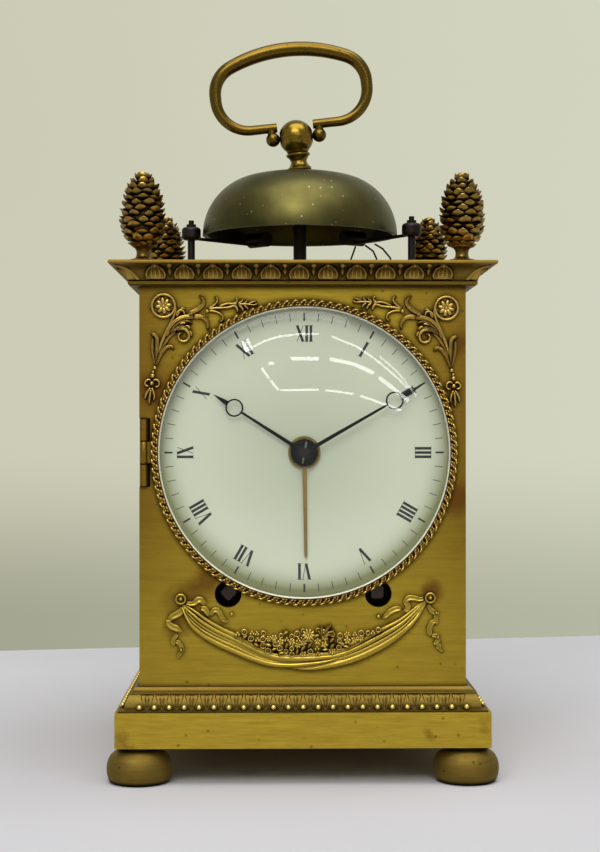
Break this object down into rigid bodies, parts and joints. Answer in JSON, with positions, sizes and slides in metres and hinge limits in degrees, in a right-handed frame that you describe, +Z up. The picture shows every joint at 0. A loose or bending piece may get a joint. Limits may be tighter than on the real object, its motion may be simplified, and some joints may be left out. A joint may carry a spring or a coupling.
{
  "type": "carriage clock",
  "caption": "Striking carriage clock in a gilt brass case on bun feet, with enamel dial, hinged bezel, bell on top, pine cone finials and folding bail handle.",
  "frame": {"origin": "middle of the footprint, on the plane of the feet", "axes": "+Z up, -Y out of the dial, +X to the viewer's right"},
  "size_m": [0.108, 0.118, 0.2152],
  "materials": {
    "gilt_case": "satin gilt, browned with age",
    "gilt_mounts": "chased and burnished gilt",
    "movement_brass": "polished",
    "bell_metal": "patinated",
    "dark_steel": "dark polished steel",
    "blued_steel": "blued",
    "white_enamel": "fired enamel",
    "clear_glass": "polished"
  },
  "bodies": {
    "case": {"bun_feet": "gilt_case", "plinth_slab": "gilt_case", "plinth_moulding": "gilt_case", "case_screws": "blued_steel", "corner_posts": "movement_brass", "front_panel": "gilt_case", "side_panels": "gilt_case", "rear_frame": "gilt_case", "cornice": "gilt_case", "top_plate": "gilt_case", "pinecone_finials": "gilt_case", "bell": "bell_metal", "bell_pillar": "dark_steel", "handle_knob": "gilt_case", "hinge_pins": "dark_steel", "hammer_springs": "dark_steel", "dial": "white_enamel", "dial_plate": "movement_brass", "left_spandrel": "gilt_mounts", "right_spandrel": "gilt_mounts", "swag_mount": "gilt_mounts", "front_plate": "movement_brass", "rear_plate": "movement_brass", "plate_pillars": "movement_brass", "movement_seats": "movement_brass", "small_screws": "blued_steel", "balance_cock": "movement_brass"},
    "bezel": {"bezel_ring": "gilt_mounts", "bezel_glass": "clear_glass"},
    "rear_door": {"back_door": "gilt_case", "door_glass": "clear_glass", "door_knob": "gilt_case"},
    "bail": {"bail_handle": "gilt_case"},
    "hammer_left": {"left_hammer": "dark_steel"},
    "hammer_right": {"right_hammer": "dark_steel"},
    "minute_train": {"centre_arbor": "dark_steel", "centre_wheel": "movement_brass", "minute_hand": "blued_steel", "hand_collet": "blued_steel"},
    "hour_train": {"hour_hand": "blued_steel", "hour_wheel": "movement_brass"},
    "minute_reverse": {"minute_wheel": "movement_brass"},
    "alarm": {"alarm_hand": "movement_brass"},
    "going_drum": {"going_barrel": "movement_brass", "going_mainspring": "dark_steel"},
    "going_key_arbor": {"going_arbor": "dark_steel"},
    "going_pawl": {"going_click": "blued_steel"},
    "strike_drum": {"strike_barrel": "movement_brass", "strike_mainspring": "dark_steel"},
    "strike_key_arbor": {"strike_arbor": "dark_steel"},
    "strike_pawl": {"strike_click": "blued_steel"},
    "second_train": {"second_wheel": "movement_brass"},
    "third_train": {"third_wheel": "movement_brass"},
    "fourth_train": {"fourth_wheel": "movement_brass"},
    "pin_train": {"pin_wheel": "movement_brass"},
    "fly_governor": {"fly": "dark_steel"},
    "escape": {"escape_wheel": "movement_brass"},
    "lever": {"pallet_lever": "dark_steel"},
    "balance": {"balance_wheel": "movement_brass", "hairspring": "blued_steel"}
  },
  "joints": [
    {"name": "bezel_hinge", "type": "hinge", "parent": "case", "child": "bezel", "pos_m": [-0.0437, -0.0504, 0.0905], "axis": [0, 0, -1], "range_deg": [0, 110]},
    {"name": "rear_door_hinge", "type": "hinge", "parent": "case", "child": "rear_door", "pos_m": [0.0345, 0.0511, 0.0812], "axis": [0, 0, -1], "range_deg": [0, 110]},
    {"name": "bail_pivot", "type": "hinge", "parent": "case", "child": "bail", "pos_m": [-0.00112, 0, 0.18594], "axis": [0.9942, 0, 0.108], "range_deg": [-95, 95]},
    {"name": "left_hammer_pivot", "type": "hinge", "parent": "case", "child": "hammer_left", "pos_m": [-0.033, -0.003, 0.15], "axis": [0, 0, -1], "range_deg": [0, 10], "stiffness_Nm_per_rad": 0.002, "springref_deg": -11.46},
    {"name": "right_hammer_pivot", "type": "hinge", "parent": "case", "child": "hammer_right", "pos_m": [0.033, -0.014, 0.15], "axis": [0, 0, 1], "range_deg": [0, 10], "stiffness_Nm_per_rad": 0.002, "springref_deg": -11.46},
    {"name": "minute_turn", "type": "hinge", "parent": "case", "child": "minute_train", "pos_m": [0.0004, 0, 0.0905], "axis": [0, 1, 0], "continuous": true},
    {"name": "hour_turn", "type": "hinge", "parent": "case", "child": "hour_train", "pos_m": [0.0004, 0, 0.0905], "axis": [0, 1, 0], "continuous": true},
    {"name": "minute_wheel_turn", "type": "hinge", "parent": "case", "child": "minute_reverse", "pos_m": [0.00959, 0, 0.08279], "axis": [0, 1, 0], "continuous": true},
    {"name": "alarm_setting", "type": "hinge", "parent": "case", "child": "alarm", "pos_m": [0.0004, 0, 0.0905], "axis": [0, 1, 0], "continuous": true},
    {"name": "second_wheel_turn", "type": "hinge", "parent": "case", "child": "second_train", "pos_m": [-0.00736, 0, 0.06884], "axis": [0, 1, 0], "continuous": true},
    {"name": "going_barrel_turn", "type": "hinge", "parent": "case", "child": "going_drum", "pos_m": [-0.0206, 0, 0.0515], "axis": [0, 1, 0], "continuous": true},
    {"name": "third_wheel_turn", "type": "hinge", "parent": "case", "child": "third_train", "pos_m": [0.0094, 0, 0.10609], "axis": [0, 1, 0], "continuous": true},
    {"name": "fourth_wheel_turn", "type": "hinge", "parent": "case", "child": "fourth_train", "pos_m": [-0.00538, 0, 0.11005], "axis": [0, 1, 0], "continuous": true},
    {"name": "going_winding", "type": "hinge", "parent": "case", "child": "going_key_arbor", "pos_m": [-0.0206, 0, 0.0515], "axis": [0, 1, 0], "continuous": true},
    {"name": "strike_winding", "type": "hinge", "parent": "case", "child": "strike_key_arbor", "pos_m": [0.0208, 0, 0.0515], "axis": [0, 1, 0], "continuous": true},
    {"name": "going_click_lift", "type": "hinge", "parent": "case", "child": "going_pawl", "pos_m": [-0.02814, -0.0409, 0.05898], "axis": [0, -1, 0], "range_deg": [0, 12], "stiffness_Nm_per_rad": 0.0003, "springref_deg": -17.19},
    {"name": "strike_click_lift", "type": "hinge", "parent": "case", "child": "strike_pawl", "pos_m": [0.02615, -0.0409, 0.06068], "axis": [0, 1, 0], "range_deg": [0, 12], "stiffness_Nm_per_rad": 0.0003, "springref_deg": -17.19},
    {"name": "pin_wheel_turn", "type": "hinge", "parent": "case", "child": "pin_train", "pos_m": [0.01515, 0, 0.07257], "axis": [0, 1, 0], "continuous": true},
    {"name": "strike_barrel_turn", "type": "hinge", "parent": "case", "child": "strike_drum", "pos_m": [0.0208, 0, 0.0515], "axis": [0, 1, 0], "continuous": true},
    {"name": "fly_turn", "type": "hinge", "parent": "case", "child": "fly_governor", "pos_m": [0.02285, 0, 0.08705], "axis": [0, 1, 0], "continuous": true},
    {"name": "escape_wheel_turn", "type": "hinge", "parent": "case", "child": "escape", "pos_m": [-0.01789, 0, 0.10422], "axis": [0, 1, 0], "continuous": true},
    {"name": "pallet_swing", "type": "hinge", "parent": "case", "child": "lever", "pos_m": [-0.01789, 0, 0.09852], "axis": [0, 1, 0], "range_deg": [-6, 6]},
    {"name": "balance_swing", "type": "hinge", "parent": "case", "child": "balance", "pos_m": [-0.01789, 0, 0.08972], "axis": [0, 1, 0], "range_deg": [-220, 220], "stiffness_Nm_per_rad": 0.000037}
  ],
  "couplings": [
    {"joint": "hour_turn", "follows": "minute_turn", "ratio": 0.083333},
    {"joint": "minute_wheel_turn", "follows": "minute_turn", "ratio": -0.33333},
    {"joint": "second_wheel_turn", "follows": "minute_turn", "ratio": -0.15},
    {"joint": "going_barrel_turn", "follows": "minute_turn", "ratio": 0.025},
    {"joint": "third_wheel_turn", "follows": "minute_turn", "ratio": -8},
    {"joint": "fourth_wheel_turn", "follows": "minute_turn", "ratio": 60},
    {"joint": "strike_barrel_turn", "follows": "pin_wheel_turn", "ratio": -0.16667},
    {"joint": "fly_turn", "follows": "pin_wheel_turn", "ratio": -7.2}
  ]
}
